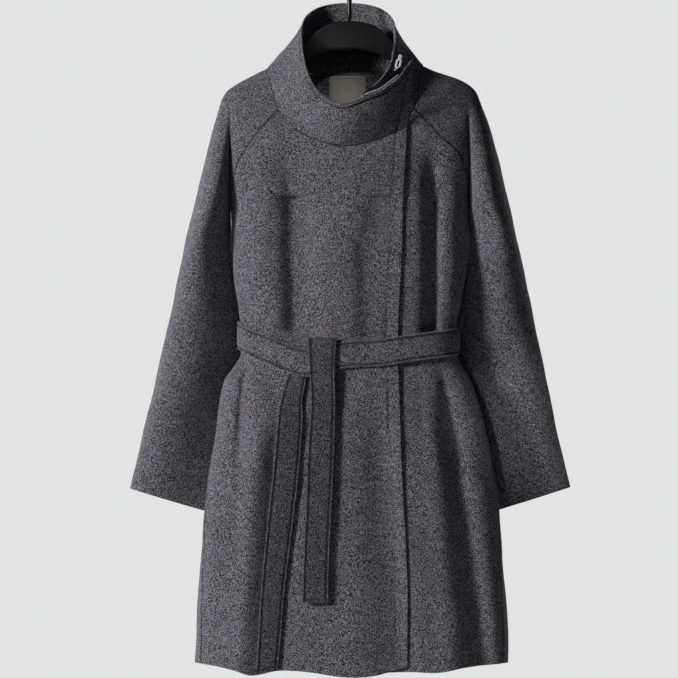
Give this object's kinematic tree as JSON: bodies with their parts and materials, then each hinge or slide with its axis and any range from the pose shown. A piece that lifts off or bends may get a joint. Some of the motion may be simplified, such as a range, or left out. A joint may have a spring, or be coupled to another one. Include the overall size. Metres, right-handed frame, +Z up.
{
  "type": "overcoat on a hanger",
  "caption": "Knee-length wool coat on a plastic hanger, with a wrapped funnel collar, raglan sleeves, an overlapping front and a half-tied belt.",
  "frame": {"origin": "where a rod touches the top of the inside of the hanger's hook", "axes": "+Z up along the hanger's neck, -Y the coat's front, -X the wearer's right side"},
  "size_m": [0.7296, 0.2023, 1.1903],
  "materials": {
    "wool": "charcoal melange double-faced wool, soft nap",
    "label_satin": "grey-taupe woven satin",
    "zip_tape": "black woven tape",
    "zip_steel": "polished nickel",
    "hanger_plastic": "black moulded plastic, satin"
  },
  "bodies": {
    "coat": {"front_right": "wool", "front_left": "wool", "back": "wool", "sleeve_right": "wool", "sleeve_left": "wool", "collar": "wool", "belt": "wool", "belt_tail_front": "wool", "belt_tail_under": "wool", "label": "label_satin", "zip_tape": "zip_tape", "zip_slider": "zip_steel", "hanger_body": "hanger_plastic", "hanger_hook": "hanger_plastic"},
    "pull_tab": {"zip_pull": "zip_steel"}
  },
  "joints": [
    {"name": "pull_tab_hinge", "type": "hinge", "parent": "coat", "child": "pull_tab", "pos_m": [0.07767, -0.08307, -0.18621], "axis": [0.8035, 0.5905, 0.0759], "range_deg": [-20, 8]}
  ]
}
